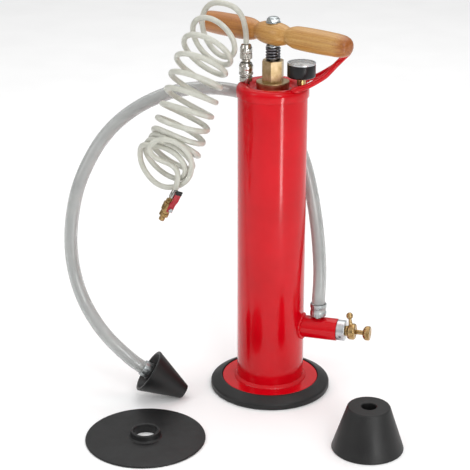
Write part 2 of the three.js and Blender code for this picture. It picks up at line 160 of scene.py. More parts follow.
def set_stops(ramp, *stops):
    """Colour ramp stops as (place, colour code)."""
    elements = ramp.color_ramp.elements
    while len(elements) < len(stops):
        elements.new(0.5)
    for element, (place, code) in zip(elements, stops):
        element.position = place
        element.color = colour(code)
    return ramp.outputs["Color"]


def smooth_line(points, per):
    """A Catmull-Rom line through points, with per steps between each two."""
    p = np.asarray(points, float)
    ends = np.vstack([2 * p[0] - p[1], p, 2 * p[-1] - p[-2]])
    a, b, c, d = ends[:-3], ends[1:-2], ends[2:-1], ends[3:]
    f = (np.arange(per) / per)[None, :, None]
    a, b, c, d = (q[:, None, :] for q in (a, b, c, d))
    steps = 0.5 * (2 * b + (c - a) * f + (2 * a - 5 * b + 4 * c - d) * f**2 + (3 * b - a - 3 * c + d) * f**3)
    return np.vstack([steps.reshape(-1, p.shape[1]), p[-1:]])


def rounded(outline, radius, loop, steps=4):
    """The outline with each of its corners turned into a small arc."""
    out = []
    count = len(outline)
    for i, point in enumerate(outline):
        if not loop and i in (0, count - 1):
            out.append(point)
            continue
        here = Vector(point)
        back, on = Vector(outline[i - 1]) - here, Vector(outline[(i + 1) % count]) - here
        # a bend under 9 degrees is part of a curve and stays
        if back.length < 1e-9 or on.length < 1e-9 or math.pi - back.angle(on) < math.radians(9):
            out.append(point)
            continue
        # neighbouring arcs keep apart
        reach = min(radius, 0.42 * back.length, 0.42 * on.length)
        start, end = here + back.normalized() * reach, here + on.normalized() * reach
        for k in range(steps + 1):
            t = k / steps
            out.append(tuple(start * (1 - t) ** 2 + here * 2 * t * (1 - t) + end * t**2))
    return out


def turned(outline, rounding=0.5, steps=96, place=Matrix()):
    """A solid turned about Z from (radius, height) points in mm, with rounded corners."""
    loop = not (outline[0][0] == 0 and outline[-1][0] == 0)
    line = rounded(outline, rounding, loop)
    bm = bmesh.new()
    dots = [bm.verts.new((r * MM, 0, z * MM)) for r, z in line]
    edges = [bm.edges.new(pair) for pair in zip(dots, dots[1:])]
    if loop:
        edges.append(bm.edges.new((dots[-1], dots[0])))
    bmesh.ops.spin(
        bm, geom=dots + edges, cent=(0, 0, 0), axis=(0, 0, 1), angle=2 * math.pi, steps=steps, use_merge=True
    )
    bmesh.ops.remove_doubles(bm, verts=bm.verts, dist=SAME_POINT)
    bmesh.ops.dissolve_degenerate(bm, edges=bm.edges, dist=1e-7)
    bmesh.ops.recalc_face_normals(bm, faces=bm.faces)
    bmesh.ops.transform(bm, matrix=place, verts=bm.verts)
    return bm


def fluted(bm, count, depth, low, high, least, place=Matrix()):
    """Shallow flutes round a turned piece, on its points outside radius least between two heights (mm)."""
    back = place.inverted()
    for v in bm.verts:
        p = back @ v.co
        r = math.hypot(p.x, p.y)
        if r > least * MM and low * MM <= p.z <= high * MM:
            k = 1 - depth * MM * (0.5 - 0.5 * math.cos(count * math.atan2(p.y, p.x))) / r
            v.co = place @ Vector((p.x * k, p.y * k, p.z))
    return bm


def hexagonal(flats, low, high, bore, place=Matrix(), both=True):
    """A hexagon on Z (mm) with a bore, and its corners turned off at 30 degrees at the top or at both ends."""
    half = flats / 2
    ring = half * 1.03
    far = half / math.cos(math.pi / 6)
    slope = math.tan(math.radians(30))
    drop = (far - ring) * slope
    outline = [(bore, low), (ring, low), (far, low + drop), (far, high - drop), (ring, high), (bore, high)]
    bm = bmesh.new()
    dots = [bm.verts.new((r * MM, 0, z * MM)) for r, z in outline]
    edges = [bm.edges.new(pair) for pair in zip(dots, dots[1:] + dots[:1])]
    bmesh.ops.spin(bm, geom=dots + edges, cent=(0, 0, 0), axis=(0, 0, 1), angle=2 * math.pi, steps=96, use_merge=True)
    bmesh.ops.remove_doubles(bm, verts=bm.verts, dist=SAME_POINT)
    for v in bm.verts:
        r = math.hypot(v.co.x, v.co.y) / MM
        if r > (ring + far) / 2:
            a = math.atan2(v.co.y, v.co.x)
            flat = half / math.cos((a + math.pi / 6) % (math.pi / 3) - math.pi / 6)
            top = v.co.z / MM > (low + high) / 2
            lift = max(0.0, flat - ring) * slope if top or both else 0
            z = high - lift if top else low + lift
            v.co = (flat * MM * math.cos(a), flat * MM * math.sin(a), z * MM)
    bmesh.ops.recalc_face_normals(bm, faces=bm.faces)
    bmesh.ops.transform(bm, matrix=place, verts=bm.verts)
    return bm


def round_bar(points, radius, sides=16, closed=False, swell=None):
    """A round bar along points in metres, its radius times swell at each."""
    data = bpy.data.curves.new("bar", "CURVE")
    data.dimensions = "3D"
    data.bevel_depth = radius
    data.bevel_resolution = (sides - 4) // 2
    data.use_fill_caps = not closed
    line = data.splines.new("POLY")
    line.points.add(len(points) - 1)
    for k, point in enumerate(points):
        line.points[k].co = (*point, 1)
        line.points[k].radius = swell[k] if swell else 1
    line.use_cyclic_u = closed
    holder = bpy.data.objects.new("bar", data)
    scene.collection.objects.link(holder)
    bpy.context.view_layer.update()
    mesh = bpy.data.meshes.new_from_object(holder.evaluated_get(bpy.context.evaluated_depsgraph_get()))
    bm = bmesh.new()
    bm.from_mesh(mesh)
    bpy.data.objects.remove(holder)
    bpy.data.curves.remove(data)
    bpy.data.meshes.remove(mesh)
    bmesh.ops.remove_doubles(bm, verts=bm.verts, dist=SAME_POINT / 2)
    bmesh.ops.recalc_face_normals(bm, faces=bm.faces)
    return bm


def joined(*parts):
    """Several bmeshes as one."""
    whole = parts[0]
    for part in parts[1:]:
        mesh = bpy.data.meshes.new("part")
        part.to_mesh(mesh)
        whole.from_mesh(mesh)
        bpy.data.meshes.remove(mesh)
        part.free()
    return whole


def bored(bm, *cutters):
    """The piece with other solids cut out of it."""
    mesh = bpy.data.meshes.new("bored")
    bm.to_mesh(mesh)
    body = bpy.data.objects.new("bored", mesh)
    scene.collection.objects.link(body)
    tools = []
    for cutter in cutters:
        shape = bpy.data.meshes.new("cutter")
        cutter.to_mesh(shape)
        tool = bpy.data.objects.new("cutter", shape)
        scene.collection.objects.link(tool)
        tools.append(tool)
        modifier = body.modifiers.new("cut", "BOOLEAN")
        modifier.object = tool
        modifier.solver = "EXACT"
    bpy.context.view_layer.update()
    result = bpy.data.meshes.new_from_object(body.evaluated_get(bpy.context.evaluated_depsgraph_get()))
    out = bmesh.new()
    out.from_mesh(result)
    for leftover in [body, *tools]:
        bpy.data.objects.remove(leftover)
    return out


def piece(name, bm, finish, body, slot, *nodes, crease=32):
    """Makes the mesh a named piece with its finish, on its body, in place of its CAD nodes."""
    mesh = bpy.data.meshes.new(name)
    bm.to_mesh(mesh)
    bm.free()
    mesh.shade_smooth()
    mesh.set_sharp_from_angle(angle=math.radians(crease))
    mesh.materials.clear()
    mesh.materials.append(finish)
    obj = bpy.data.objects.new(name, mesh)
    scene.collection.objects.link(obj)
    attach(obj, body)
    if nodes:
        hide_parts(*nodes)
    return obj


# Finishes


def red_stove_enamel():
    # Gloss enamel sprayed on steel and stoved: deep clear red, sharp reflections, faint orange peel.
    material, tree, where = new_finish("red_stove_enamel")
    cloud = add_node(tree, "ShaderNodeTexNoise", {"Vector": where}, Scale=14.0, Detail=3.0)
    tone = add_node(tree, "ShaderNodeValToRGB", {"Fac": cloud.outputs["Fac"]})
    red = set_stops(tone, (0.32, "#C2000F"), (0.68, "#D20115"))
    # orange peel of about 1.6 mm
    peel = add_node(tree, "ShaderNodeTexNoise", {"Vector": where}, Scale=620.0, Detail=1.0)
    bump = add_node(tree, "ShaderNodeBump", {"Height": peel.outputs["Fac"]}, Strength=0.05, Distance=0.0004)
    haze = add_node(tree, "ShaderNodeTexNoise", {"Vector": where}, Scale=38.0, Detail=4.0)
    gloss = add_node(
        tree,
        "ShaderNodeMapRange",
        {"Value": haze.outputs["Fac"]},
        From_Min=0.3,
        From_Max=0.7,
        To_Min=0.12,
        To_Max=0.2,
    )
    skin = add_node(
        tree,
        "ShaderNodeBsdfPrincipled",
        {"Base Color": red, "Roughness": gloss.outputs["Result"], "Normal": bump.outputs["Normal"]},
        IOR=1.36,
        Coat_Weight=0.08,
        Coat_Roughness=0.05,
    )
    add_node(tree, "ShaderNodeOutputMaterial", {"Surface": skin.outputs["BSDF"]})
    return material


def red_dipped_vinyl():
    # PVC dip over a steel lever: darker red, softer gloss, slight sag marks of about 3 mm.
    material, tree, where = new_finish("red_dipped_vinyl")
    sag = add_node(tree, "ShaderNodeTexNoise", {"Vector": where}, Scale=330.0, Detail=2.0)
    tone = add_node(tree, "ShaderNodeValToRGB", {"Fac": sag.outputs["Fac"]})
    red = set_stops(tone, (0.3, "#9A1220"), (0.7, "#B01A2A"))
    bump = add_node(tree, "ShaderNodeBump", {"Height": sag.outputs["Fac"]}, Strength=0.2, Distance=0.0004)
    skin = add_node(
        tree,
        "ShaderNodeBsdfPrincipled",
        {"Base Color": red, "Normal": bump.outputs["Normal"]},
        Roughness=0.32,
        IOR=1.53,
    )
    add_node(tree, "ShaderNodeOutputMaterial", {"Surface": skin.outputs["BSDF"]})
    return material


def moulded_black_rubber():
    # Compression-moulded nitrile rubber: warm near-black, matt, fine grain, greyer where handled and dusty.
    material, tree, where = new_finish("moulded_black_rubber")
    dust = add_node(tree, "ShaderNodeTexNoise", {"Vector": where}, Scale=26.0, Detail=6.0, Roughness=0.65)
    tone = add_node(tree, "ShaderNodeValToRGB", {"Fac": dust.outputs["Fac"]})
    black = set_stops(tone, (0.3, "#0F0F10"), (0.62, "#171717"), (0.85, "#242423"))
    # mould grain, drawn at 1 mm so that it shows
    grain = add_node(tree, "ShaderNodeTexNoise", {"Vector": where}, Scale=1000.0, Detail=2.0)
    bump = add_node(tree, "ShaderNodeBump", {"Height": grain.outputs["Fac"]}, Strength=0.25, Distance=0.0003)
    rough = add_node(
        tree,
        "ShaderNodeMapRange",
        {"Value": dust.outputs["Fac"]},
        From_Min=0.3,
        From_Max=0.7,
        To_Min=0.36,
        To_Max=0.56,
    )
    skin = add_node(
        tree,
        "ShaderNodeBsdfPrincipled",
        {"Base Color": black, "Roughness": rough.outputs["Result"], "Normal": bump.outputs["Normal"]},
        IOR=1.45,
    )
    add_node(tree, "ShaderNodeOutputMaterial", {"Surface": skin.outputs["BSDF"]})
    return material


def metal(name, stops, patch, rough, stretch, lines, depth):
    """A bare metal: patches of patch per metre in its colour, and tool lines of lines per metre along stretch."""
    material, tree, where = new_finish(name)
    stain = add_node(tree, "ShaderNodeTexNoise", {"Vector": where}, Scale=patch, Detail=5.0, Roughness=0.6)
    tone = add_node(tree, "ShaderNodeValToRGB", {"Fac": stain.outputs["Fac"]})
    tint = set_stops(tone, *stops)
    drawn = add_node(tree, "ShaderNodeMapping", {"Vector": where}, Scale=stretch)
    marks = add_node(tree, "ShaderNodeTexNoise", {"Vector": drawn.outputs["Vector"]}, Scale=lines, Detail=2.0)
    bump = add_node(tree, "ShaderNodeBump", {"Height": marks.outputs["Fac"]}, Strength=depth, Distance=0.0002)
    dull = add_node(
        tree,
        "ShaderNodeMapRange",
        {"Value": stain.outputs["Fac"]},
        From_Min=0.3,
        From_Max=0.7,
        To_Min=rough[0],
        To_Max=rough[1],
    )
    skin = add_node(
        tree,
        "ShaderNodeBsdfPrincipled",
        {"Base Color": tint, "Roughness": dull.outputs["Result"], "Normal": bump.outputs["Normal"]},
        Metallic=1.0,
    )
    add_node(tree, "ShaderNodeOutputMaterial", {"Surface": skin.outputs["BSDF"]})
    return material


def varnished_beech():
    # Turned beech under clear varnish: long pale and brown grain, short dark flecks, one end more orange, satin coat.
    material, tree, where = new_finish("varnished_beech")
    along = add_node(tree, "ShaderNodeMapping", {"Vector": where}, Rotation=(0, 0, -HANDLE_TURN))
    # growth lines about 2.5 mm apart and 40 times as long
    fibres = add_node(tree, "ShaderNodeMapping", {"Vector": along.outputs["Vector"]}, Scale=(10.0, 400.0, 400.0))
    growth = add_node(tree, "ShaderNodeTexNoise", {"Vector": fibres.outputs["Vector"]}, Scale=1.0, Detail=4.0)
    # flecks about 0.4 mm wide and 3 mm long
    dashes = add_node(tree, "ShaderNodeMapping", {"Vector": along.outputs["Vector"]}, Scale=(330.0, 2400.0, 2400.0))
    flecks = add_node(tree, "ShaderNodeTexNoise", {"Vector": dashes.outputs["Vector"]}, Scale=1.0, Detail=1.0)
    tone = add_node(tree, "ShaderNodeValToRGB", {"Fac": growth.outputs["Fac"]})
    base = set_stops(tone, (0.3, "#AE7B38"), (0.5, "#BE8D47"), (0.72, "#CBA05E"))
    spots = add_node(tree, "ShaderNodeValToRGB", {"Fac": flecks.outputs["Fac"]})
    fleck = set_stops(spots, (0.6, "#000000"), (0.72, "#FFFFFF"))
    grained = add_node(tree, "ShaderNodeMix", {"Factor": fleck}, data_type="RGBA")
    tree.links.new(base, grained.inputs[6])
    grained.inputs[7].default_value = colour("#8E5524")
    parts = add_node(tree, "ShaderNodeSeparateXYZ", {"Vector": along.outputs["Vector"]})
    left = add_node(
        tree,
        "ShaderNodeMapRange",
        {"Value": parts.outputs["X"]},
        From_Min=0.0,
        From_Max=-0.05,
        To_Min=0.0,
        To_Max=0.8,
    )
    half = left.outputs["Result"]
    warmer = add_node(tree, "ShaderNodeMix", {"Factor": half}, data_type="RGBA", blend_type="MULTIPLY")
    tree.links.new(grained.outputs[2], warmer.inputs[6])
    warmer.inputs[7].default_value = colour("#E6BC86")
    # end grain drinks the varnish and goes darker
    reach = add_node(tree, "ShaderNodeMath", {0: parts.outputs["X"]}, operation="ABSOLUTE")
    edge = add_node(
        tree,
        "ShaderNodeMapRange",
        {"Value": reach.outputs["Value"]},
        From_Min=0.116,
        From_Max=0.134,
        To_Max=0.85,
    )
    dark = edge.outputs["Result"]
    ends = add_node(tree, "ShaderNodeMix", {"Factor": dark}, data_type="RGBA", blend_type="MULTIPLY")
    tree.links.new(warmer.outputs[2], ends.inputs[6])
    ends.inputs[7].default_value = colour("#C98A48")
    bump = add_node(tree, "ShaderNodeBump", {"Height": growth.outputs["Fac"]}, Strength=0.08, Distance=0.0004)
    skin = add_node(
        tree,
        "ShaderNodeBsdfPrincipled",
        {"Normal": bump.outputs["Normal"]},
        Roughness=0.42,
        IOR=1.5,
        Coat_Weight=0.3,
        Coat_Roughness=0.22,
    )
    tree.links.new(ends.outputs[2], skin.inputs["Base Color"])
    add_node(tree, "ShaderNodeOutputMaterial", {"Surface": skin.outputs["BSDF"]})
    return material


def moulded_black_abs():
    # Injection-moulded ABS gauge case: blue-black, satin, very fine spark texture.
    material, tree, where = new_finish("moulded_black_abs")
    spark = add_node(tree, "ShaderNodeTexNoise", {"Vector": where}, Scale=1300.0, Detail=1.0)
    tone = add_node(tree, "ShaderNodeValToRGB", {"Fac": spark.outputs["Fac"]})
    black = set_stops(tone, (0.3, "#08090B"), (0.7, "#0F1114"))
    bump = add_node(tree, "ShaderNodeBump", {"Height": spark.outputs["Fac"]}, Strength=0.15, Distance=0.0002)
    skin = add_node(
        tree,
        "ShaderNodeBsdfPrincipled",
        {"Base Color": black, "Normal": bump.outputs["Normal"]},
        Roughness=0.33,
        IOR=1.45,
    )
    add_node(tree, "ShaderNodeOutputMaterial", {"Surface": skin.outputs["BSDF"]})
    return material


def printed_dial_enamel():
    # White enamel on thin aluminium: clean, eggshell, a breath of unevenness.
    material, tree, where = new_finish("printed_dial_enamel")
    cloud = add_node(tree, "ShaderNodeTexNoise", {"Vector": where}, Scale=160.0, Detail=2.0)
    tone = add_node(tree, "ShaderNodeValToRGB", {"Fac": cloud.outputs["Fac"]})
    white = set_stops(tone, (0.3, "#E6E6E2"), (0.7, "#EFEFEC"))
    skin = add_node(tree, "ShaderNodeBsdfPrincipled", {"Base Color": white}, Roughness=0.5, IOR=1.5)
    add_node(tree, "ShaderNodeOutputMaterial", {"Surface": skin.outputs["BSDF"]})
    return material


def polycarbonate_with_painted_glare():
    # Moulded polycarbonate gauge window, water clear on the real gauge, drawn here as a near-white veil at a third
    # opacity that paints the glare over the dial, with a slight haze of handling.
    material, tree, where = new_finish("polycarbonate_with_painted_glare")
    smear = add_node(tree, "ShaderNodeTexNoise", {"Vector": where}, Scale=120.0, Detail=3.0)
    haze = add_node(
        tree,
        "ShaderNodeMapRange",
        {"Value": smear.outputs["Fac"]},
        From_Min=0.4,
        From_Max=0.8,
        To_Min=0.03,
        To_Max=0.14,
    )
    skin = add_node(
        tree,
        "ShaderNodeBsdfPrincipled",
        {"Roughness": haze.outputs["Result"]},
        # near-white base at 0.32 alpha: painted glare laid over the dial
        Base_Color=colour("#EEF1F2"),
        IOR=1.58,
        Alpha=0.32,
    )
    add_node(tree, "ShaderNodeOutputMaterial", {"Surface": skin.outputs["BSDF"]})
    return material


def clear_flexible_pvc():
    # Extruded plasticised PVC hose: grey-clear wall that hazes in streaks along its length, soft gloss.
    material, tree, where = new_finish("clear_flexible_pvc")
    cloud = add_node(tree, "ShaderNodeTexNoise", {"Vector": where}, Scale=45.0, Detail=4.0)
    tone = add_node(tree, "ShaderNodeValToRGB", {"Fac": cloud.outputs["Fac"]})
    grey = set_stops(tone, (0.3, "#D2D4D3"), (0.7, "#DEE0DE"))
    haze = add_node(
        tree,
        "ShaderNodeMapRange",
        {"Value": cloud.outputs["Fac"]},
        From_Min=0.3,
        From_Max=0.7,
        To_Min=0.1,
        To_Max=0.2,
    )
    skin = add_node(
        tree,
        "ShaderNodeBsdfPrincipled",
        {"Base Color": grey, "Roughness": haze.outputs["Result"]},
        IOR=1.53,
        Transmission_Weight=0.62,
    )
    add_node(tree, "ShaderNodeOutputMaterial", {"Surface": skin.outputs["BSDF"]})
    return material


def milky_nylon():
    # Extruded natural nylon tube: cloudy, faintly yellow-green, waxy gloss.
    material, tree, where = new_finish("milky_nylon")
    cloud = add_node(tree, "ShaderNodeTexNoise", {"Vector": where}, Scale=90.0, Detail=3.0)
    tone = add_node(tree, "ShaderNodeValToRGB", {"Fac": cloud.outputs["Fac"]})
    milk = set_stops(tone, (0.3, "#D6D6CA"), (0.7, "#E4E4DA"))
    bump = add_node(tree, "ShaderNodeBump", {"Height": cloud.outputs["Fac"]}, Strength=0.05, Distance=0.0005)
    skin = add_node(
        tree,
        "ShaderNodeBsdfPrincipled",
        {"Base Color": milk, "Normal": bump.outputs["Normal"]},
        Roughness=0.3,
        IOR=1.53,
        Transmission_Weight=0.3,
    )
    add_node(tree, "ShaderNodeOutputMaterial", {"Surface": skin.outputs["BSDF"]})
    return material


def studio_paper():
    # Matt white background paper: almost even, with the faint cloudiness of its fibres.
    material, tree, where = new_finish("studio_paper")
    fibre = add_node(tree, "ShaderNodeTexNoise", {"Vector": where}, Scale=6.0, Detail=2.0)
    tone = add_node(tree, "ShaderNodeValToRGB", {"Fac": fibre.outputs["Fac"]})
    white = set_stops(tone, (0.3, "#FAFAFA"), (0.7, "#FDFDFD"))
    skin = add_node(tree, "ShaderNodeBsdfPrincipled", {"Base Color": white}, Roughness=0.95)
    add_node(tree, "ShaderNodeOutputMaterial", {"Surface": skin.outputs["BSDF"]})
    return material


ENAMEL = red_stove_enamel()
VINYL = red_dipped_vinyl()
RUBBER = moulded_black_rubber()
BEECH = varnished_beech()
ABS = moulded_black_abs()
DIAL = printed_dial_enamel()
WINDOW = polycarbonate_with_painted_glare()
PVC = clear_flexible_pvc()
NYLON = milky_nylon()
# Gland brass: turned, then dulled by hands and air, brown in patches of about 15 mm.
GLAND_BRASS = metal(
    "tarnished_turned_brass",
    stops=((0.3, "#93794E"), (0.5, "#BAA27A"), (0.72, "#D8C4A0")),
    patch=70.0,
    rough=(0.26, 0.42),
    stretch=(1.0, 1.0, 14.0),
    lines=260.0,
    depth=0.12,
)
# Valve brass: cleaner, brighter yellow, fine turning lines.
BRASS = metal(
    "turned_yellow_brass",
    stops=((0.3, "#97794A"), (0.55, "#B8996A"), (0.75, "#D3BC8E")),
    patch=150.0,
    rough=(0.2, 0.36),
    stretch=(6.0, 1.0, 6.0),
    lines=500.0,
    depth=0.1,
)
# Nickel plate on turned steel: warm grey, bright, a little smeared.
NICKEL = metal(
    "nickel_plated_steel",
    stops=((0.3, "#A9A6A0"), (0.55, "#C4C1BB"), (0.75, "#DAD8D3")),
    patch=120.0,
    rough=(0.14, 0.28),
    stretch=(1.0, 1.0, 10.0),
    lines=420.0,
    depth=0.08,
)
# Zinc plate: cool grey with faint blue patches of about 6 mm.
ZINC = metal(
    "zinc_plated_steel",
    stops=((0.3, "#99A0A2"), (0.5, "#B4B9BA"), (0.75, "#C9CCC9")),
    patch=170.0,
    rough=(0.24, 0.4),
    stretch=(1.0, 1.0, 1.0),
    lines=700.0,
    depth=0.1,
)
# Spring wire: drawn and blued, dark with light edges.
SPRING_STEEL = metal(
    "oiled_spring_steel",
    stops=((0.3, "#57575B"), (0.55, "#77777C"), (0.75, "#939398")),
    patch=200.0,
    rough=(0.24, 0.36),
    stretch=(1.0, 1.0, 1.0),
    lines=500.0,
    depth=0.08,
)
# Ground and chromed rod and honed barrel.
CHROME = metal(
    "hard_chromed_steel",
    stops=((0.3, "#B9BBBE"), (0.55, "#CFD1D3"), (0.75, "#DCDEDF")),
    patch=60.0,
    rough=(0.08, 0.16),
    stretch=(1.0, 1.0, 30.0),
    lines=300.0,
    depth=0.03,
)
# Turned aluminium: pale, with turning lines drawn about 1 mm apart so that they show.
ALUMINIUM = metal(
    "turned_aluminium",
    stops=((0.3, "#B8BABD"), (0.55, "#CDD0D2"), (0.75, "#DEE0E1")),
    patch=90.0,
    rough=(0.26, 0.38),
    stretch=(14.0, 1.0, 1.0),
    lines=300.0,
    depth=0.14,
)


# Cords


def hose_line():
    """Centreline of the suction hose in metres: off the barb, behind the cylinder, and down into the cone."""
    mouth, way = cone_axis()
    route = [(74.5, 0, 145.2), (74.5, 0, 154), (74.6, 1.4, 164), (74.5, 4.4, 179), (73.2, 9.4, 198)]
    route += [(70.2, 15.4, 221), (65.6, 23, 247), (58.4, 33, 278), (49, 44, 310), (37, 54.5, 343)]
    route += [(21, 62.5, 375), (1, 66.5, 404), (-22, 66, 426), (-47, 60.5, 441.5), (-75, 51, 451)]
    route += [(-104, 40, 455), (-133, 28.5, 454.6), (-161, 17, 449.6), (-187, 5.5, 439.5), (-212, -5.5, 425)]
    route += [(-236, -17, 405), (-257, -28.5, 379), (-274, -40, 347), (-286.6, -50.8, 312), (-293.8, -58, 275.2)]
    route += [(-296.1, -65, 238.8), (-292.8, -72, 204.1), (-283.5, -80, 171.7), (-268.3, -89, 142.4)]
    route += [(-247.1, -98.5, 116.1), (-221.4, -107, 93.1), (-190.8, -108.6, 68)]
    line = [tuple(c * MM for c in point) for point in route]
    line += [tuple(mouth + way * s * MM) for s in (-16, 0, 25)]
    return smooth_line(line, 5)


def cone_axis():
    """The mouth centre and direction of the rubber cone, which the stiff hose holds with its tip on the floor."""
    tilt, turn = math.radians(34.5), math.radians(18.8)
    way = Vector((math.cos(tilt) * math.cos(turn), math.cos(tilt) * math.sin(turn), -math.sin(tilt)))
    return Vector((-0.1641, -0.0996, 0.0461)), way


# Where the coil's rings hang (mm), and which way each faces, from its top to its bottom
COIL_CENTRES = [(-74.8, -16.5, 556), (-81.9, -49.4, 534), (-92.9, -65.5, 499.5), (-103.4, -71.3, 460.5)]
COIL_CENTRES += [(-114.2, -76.6, 424.3), (-125.7, -81.3, 391.3), (-139.5, -92.9, 374.4)]
COIL_AXES = [(-0.52, -0.83, -0.21), (-0.37, -0.69, -0.62), (-0.31, -0.49, -0.82), (-0.31, -0.41, -0.86)]
COIL_AXES += [(-0.32, -0.23, -0.92), (-0.26, -0.64, -0.72), (-0.29, -0.90, -0.32)]
COIL_RADIUS = 36.6
COIL_TURNS = 11
POINTS_PER_TURN = 14


def coil_turns():
    """The coil's line in mm: a ring of one radius whose centre and axis swing along the hanging coil."""
    centres, axes = smooth_line(COIL_CENTRES, 200), smooth_line(COIL_AXES, 200)
    across = np.array([0.96, 0.28, 0.0])
    out = []
    for turn in np.arange(0.25, COIL_TURNS + 0.76, 1 / POINTS_PER_TURN):
        u = (turn - 0.5) / COIL_TURNS
        # the rings crowd a little toward the bottom
        u += 0.084 * u * (1 - u)
        k = u * (len(centres) - 1)
        low = int(np.clip(math.floor(k), 0, len(centres) - 2))
        centre = centres[low] + (centres[low + 1] - centres[low]) * (k - low)
        axis = axes[low] + (axes[low + 1] - axes[low]) * (k - low)
        axis /= np.linalg.norm(axis)
        side = across - axis * (axis @ across)
        side /= np.linalg.norm(side)
        angle = 2 * math.pi * turn
        out.append(centre + COIL_RADIUS * (math.cos(angle) * side + math.sin(angle) * np.cross(axis, side)))
    return out


def evenly(points, step):
    """The line through points again, at even steps of about step."""
    fine = smooth_line(points, 10)
    run = np.r_[0, np.cumsum(np.linalg.norm(np.diff(fine, axis=0), axis=1))]
    at = np.linspace(0, run[-1], int(round(run[-1] / step)) + 1)
    return np.stack([np.interp(at, run, fine[:, i]) for i in range(3)], 1)


def settled(line, gap, rounds=60, reach=8):
    """Pushes turns that would lie in each other apart to gap, and eases the bends, with both ends held."""
    line = line.copy()
    index = np.arange(len(line))
    apart = np.abs(index[:, None] - index[None]) > reach
    hold = np.clip(np.minimum(index - 3, len(line) - 4 - index) / 4, 0, 1)[:, None]
    for _ in range(rounds):
        between = line[:, None] - line[None]
        far = np.linalg.norm(between, axis=2) + 1e-9
        push = np.where(apart & (far < gap), (gap - far) / far, 0)
        ease = np.zeros_like(line)
        ease[2:-2] = (-line[:-4] + 4 * line[1:-3] - 6 * line[2:-2] + 4 * line[3:-1] - line[4:]) / 16
        line = line + hold * (0.35 * (between * push[:, :, None]).sum(1) + 0.6 * ease)
    return line


def air_tube_line():
    """Centreline of the coiled air tube in metres, from the coupler's nut to the small valve's nut."""
    lead = [(-40, 0, 534.4), (-40, 0, 541), (-39.6, -2.2, 549), (-39.4, -7.5, 559.5), (-40.9, -14, 573)]
    lead += [(-46, -18.6, 585.5), (-56.5, -20.3, 593)]
    tail = [(-130, -83, 336.4), (-113.8, -86, 342.4), (-99.7, -92.5, 357), (-91, -101, 376), (-91, -110, 396)]
    tail += [(-102, -117, 412), (-118.5, -121, 420), (-136, -122, 417), (-147, -120, 406), (-145, -114, 392.5)]
    tail += [(-134, -106, 383.5), (-123.5, -99.5, 377), (-116.6, -94.6, 369), (-114.2, -92.4, 358.7)]
    tail += [(-116, -93, 347.5), (-117.9, -93.4, 337.8)]
    # turns lie 8.6 mm apart or more, for a tube of 8 mm
    line = settled(evenly(lead + [tuple(p) for p in coil_turns()] + tail, 5.0), 8.6)
    return evenly(line, 2.4) * MM


def lay_hose():
    line = hose_line()
    bm = round_bar(line, 0.010, sides=24)
    # the hose is open at both ends, and its wall grows inwards from its skin
    caps = [f for f in bm.faces if len(f.verts) > 4]
    bmesh.ops.delete(bm, geom=caps, context="FACES_ONLY")
    bmesh.ops.recalc_face_normals(bm, faces=bm.faces)
    centre = Vector(line[40])
    near = min(bm.faces, key=lambda f: (f.calc_center_median() - centre).length)
    if near.normal.dot(near.calc_center_median() - centre) < 0:
        bmesh.ops.reverse_faces(bm, faces=bm.faces)
    bmesh.ops.solidify(bm, geom=bm.faces, thickness=0.003)
    hose = piece("clear_suction_hose", bm, PVC, "pump_body", "clear_hose", "suction_hose", crease=50)
    return hose, line


def lay_air_tube():
    line = air_tube_line()
    data = bpy.data.curves.new("coiled_air_tube", "CURVE")
    data.dimensions = "3D"
    data.bevel_depth = 0.004
    data.bevel_resolution = 4
    data.use_fill_caps = True
    run = data.splines.new("POLY")
    run.points.add(len(line) - 1)
    for dot, point in zip(run.points, line):
        dot.co = (*point, 1)
    run.use_smooth = True
    data.materials.append(NYLON)
    tube = bpy.data.objects.new("coiled_air_tube", data)
    scene.collection.objects.link(tube)
    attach(tube, "pump_body")
    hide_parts("air_tube_lead", "air_tube_coil", "air_tube_tail")
    return tube, line


# Base, reservoir and its welds


def build_base():
    foot = [(0, 0), (90.2, 0), (91.3, 1.4), (91.3, 8.0), (89.6, 10), (76.4, 17.2), (73.9, 17.2), (73.7, 9.8)]
    foot += [(0, 9.8)]
    piece("rubber_foot", turned(foot, 1.4, 144), RUBBER, "pump_body", "black_rubber", "base_rubber_foot")
    plate = [(0, 10.1), (73.2, 10.1), (73.2, 16.3), (0, 16.3)]
    piece("base_plate", turned(plate, 1.3, 144), ENAMEL, "pump_body", "red_painted_steel", "base_flange")


def build_reservoir():
    wall = [(47.2, 16.6), (CYLINDER_R, 16.6), (CYLINDER_R, 466.1), (47.2, 466.1)]
    piece("cylinder", turned(wall, 0.4, 144), ENAMEL, "pump_body", "red_painted_steel", "reservoir_tube")
    cap = [(17.4, 466.4), (51.1, 466.4), (51.1, 462), (53, 462), (53, 471), (52.4, 474.8), (50.2, 477.8), (47, 479.3)]
    cap += [(43, 479.6), (39, 479.1), (35.8, 477), (33.8, 473.6), (31.5, 472), (17.4, 472)]
    piece("dished_cap", turned(cap, 1.6, 144), ENAMEL, "pump_body", "red_painted_steel", "reservoir_top_cap")
    fillet = [(CYLINDER_R, 21.4), (51.7, 20.7), (54.4, 18.0), (55.4, 16.3), (CYLINDER_R, 16.3)]
    seam = fluted(turned(fillet, 0.8, 360), 90, 0.35, 16.4, 21, 51.2)
    piece("cylinder_foot_weld", seam, ENAMEL, "pump_body", "red_painted_steel", crease=60)


